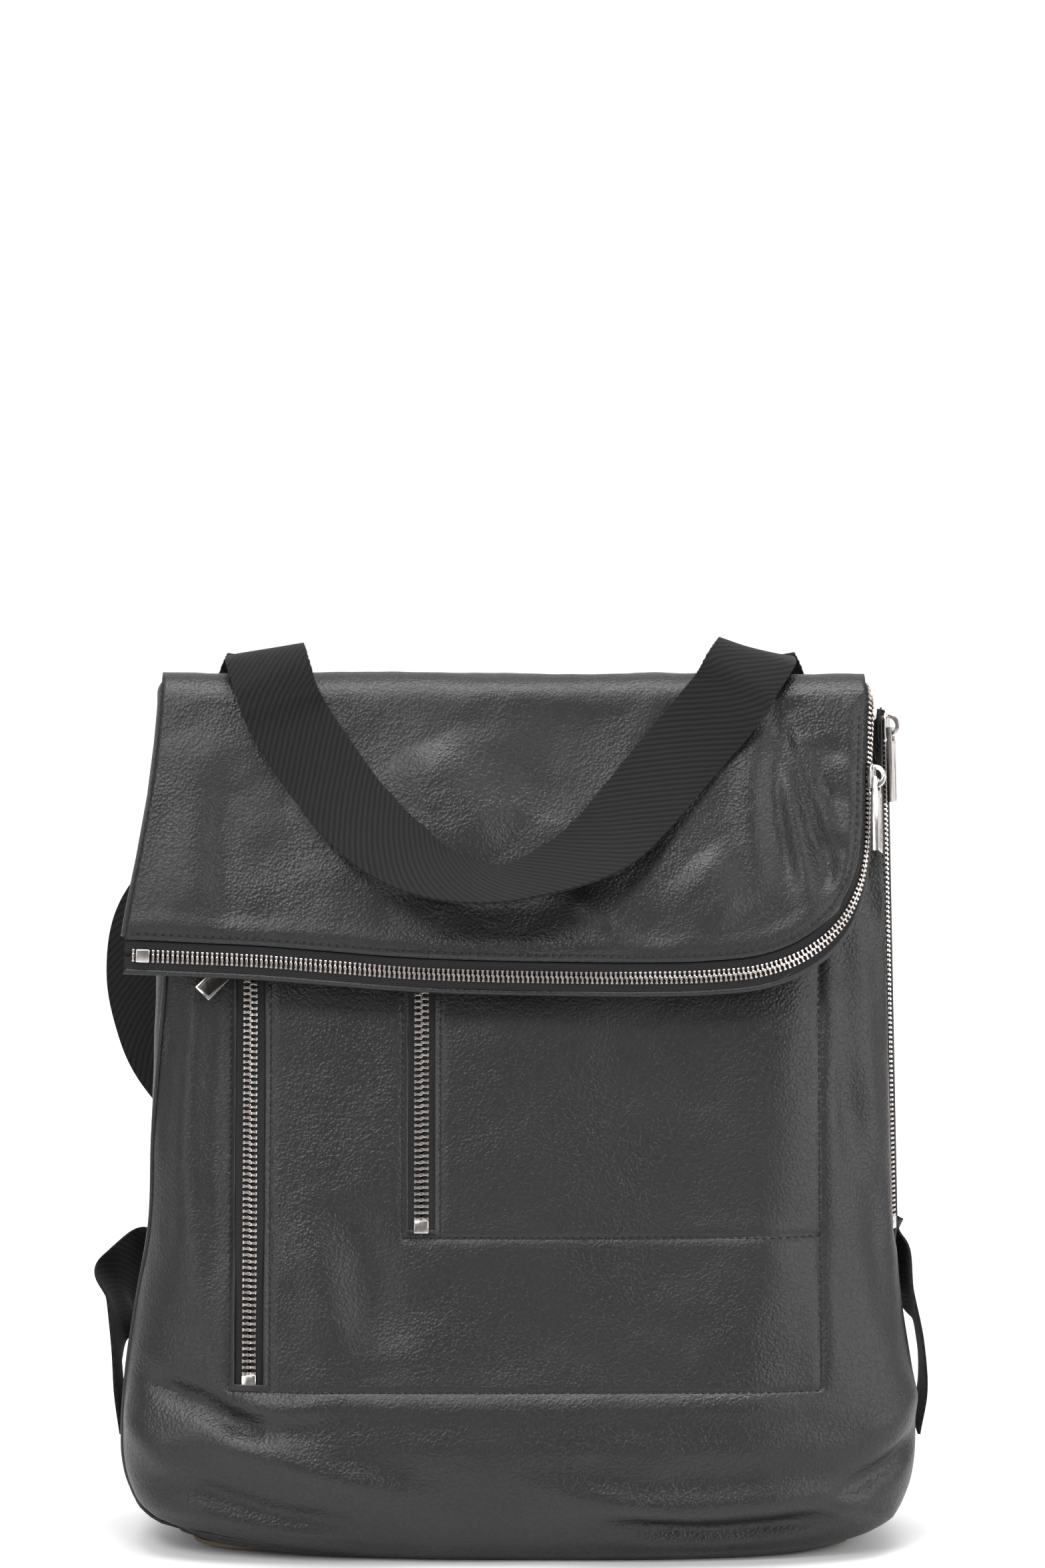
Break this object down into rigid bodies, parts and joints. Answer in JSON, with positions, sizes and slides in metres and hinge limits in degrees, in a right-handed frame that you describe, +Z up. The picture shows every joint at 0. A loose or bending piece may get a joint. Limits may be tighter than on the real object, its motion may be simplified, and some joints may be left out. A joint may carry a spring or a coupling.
{
  "type": "leather fold-over backpack",
  "caption": "Soft leather fold-over backpack with a two-slider metal zip round its mouth, upright front pocket zips, a webbing carry handle and webbing shoulder straps.",
  "frame": {"origin": "centre of the bounding box, on the floor the bag stands on", "axes": "+Z up, +X to the right seen from the front, front facing -Y"},
  "size_m": [0.414, 0.1534, 0.4571],
  "materials": {
    "leather": "pebbled, semi-gloss",
    "webbing": "matte twill",
    "zip_tape": "matte woven",
    "lining_cloth": "matte",
    "board": "matte fibreboard",
    "metal": "polished nickel"
  },
  "bodies": {
    "bag": {"base_panel": "leather", "base_board": "board", "front_panel": "leather", "back_panel": "leather", "left_seam_binding": "leather", "lining": "lining_cloth", "long_pocket_bag": "lining_cloth", "short_pocket_bag": "lining_cloth", "back_yoke": "leather", "fold_leather": "leather", "fold_crease": "leather", "fold_zip": "zip_tape", "side_zip_tape": "zip_tape", "side_zip_teeth": "metal", "side_zip_stop": "metal", "long_zip_tape": "zip_tape", "long_zip_teeth": "metal", "long_zip_stop": "metal", "short_zip_tape": "zip_tape", "short_zip_teeth": "metal", "short_zip_stop": "metal", "handle_bend_left": "webbing", "handle_bend_right": "webbing", "handle_tail_left": "webbing", "handle_tail_right": "webbing", "strap_left": "webbing", "strap_right": "webbing"},
    "flap": {"flap_outer": "leather", "flap_inner": "leather", "flap_lining": "lining_cloth", "flap_side_wall": "leather", "flap_hem": "leather", "flap_zip_tape": "zip_tape", "flap_zip_teeth": "metal", "flap_zip_stop": "metal"},
    "handle": {"handle": "webbing"},
    "flap_slider": {"flap_slider": "metal"},
    "flap_puller": {"flap_puller": "metal"},
    "side_slider": {"side_slider": "metal"},
    "side_puller": {"side_puller": "metal"},
    "long_slider": {"long_slider": "metal"},
    "long_puller": {"long_puller": "metal"},
    "short_slider": {"short_slider": "metal"},
    "short_puller": {"short_puller": "metal"},
    "adjuster_left": {"adjuster_left": "metal"},
    "adjuster_right": {"adjuster_right": "metal"}
  },
  "joints": [
    {"name": "flap_fold", "type": "hinge", "parent": "bag", "child": "flap", "pos_m": [0, 0.012, 0.422], "axis": [-1, 0, 0], "range_deg": [0, 150], "deforming": ["fold_leather", "fold_crease", "fold_zip", "handle_bend_left", "handle_bend_right"]},
    {"name": "handle_lift", "type": "hinge", "parent": "flap", "child": "handle", "pos_m": [0, -0.01382, 0.42989], "axis": [-1, 0, 0], "range_deg": [0, 110], "deforming": ["handle_bend_left", "handle_bend_right"]},
    {"name": "main_zip_flap_slide", "type": "slide", "parent": "flap", "child": "flap_slider", "axis": [0, 0.2924, 0.9563], "range_m": [-0.05, 0.018], "deforming": ["flap_zip_teeth"]},
    {"name": "flap_puller_lift", "type": "hinge", "parent": "flap_slider", "child": "flap_puller", "pos_m": [0.1785, -0.00966, 0.3892], "axis": [-0.309, -0.9095, 0.2781], "range_deg": [0, 100]},
    {"name": "main_zip_side_slide", "type": "slide", "parent": "bag", "child": "side_slider", "axis": [-0.0257, 0.0705, 0.9972], "range_m": [-0.225, 0], "deforming": ["side_zip_teeth"]},
    {"name": "side_puller_lift", "type": "hinge", "parent": "side_slider", "child": "side_puller", "pos_m": [0.18743, 0.01787, 0.41302], "axis": [-0.3106, -0.9487, 0.0591], "range_deg": [0, 100]},
    {"name": "long_pocket_slide", "type": "slide", "parent": "bag", "child": "long_slider", "axis": [0, 0.2206, 0.9754], "range_m": [-0.19, 0], "deforming": ["long_zip_teeth"]},
    {"name": "long_puller_swing", "type": "hinge", "parent": "long_slider", "child": "long_puller", "pos_m": [-0.13635, -0.01901, 0.3062], "axis": [-0.1124, -0.9692, 0.2192], "range_deg": [0, 90]},
    {"name": "short_pocket_slide", "type": "slide", "parent": "bag", "child": "short_slider", "axis": [0, 0.2305, 0.9731], "range_m": [-0.12, 0], "deforming": ["short_zip_teeth"]},
    {"name": "short_puller_swing", "type": "hinge", "parent": "short_slider", "child": "short_puller", "pos_m": [-0.05001, -0.02077, 0.30627], "axis": [-0.003, -0.9731, 0.2305], "range_deg": [0, 60]},
    {"name": "left_adjuster_slide", "type": "slide", "parent": "bag", "child": "adjuster_left", "axis": [-0.0933, 0.0233, 0.9954], "range_m": [-0.018, 0.018]},
    {"name": "right_adjuster_slide", "type": "slide", "parent": "bag", "child": "adjuster_right", "axis": [0, 0.0286, 0.9996], "range_m": [-0.018, 0.018]}
  ]
}
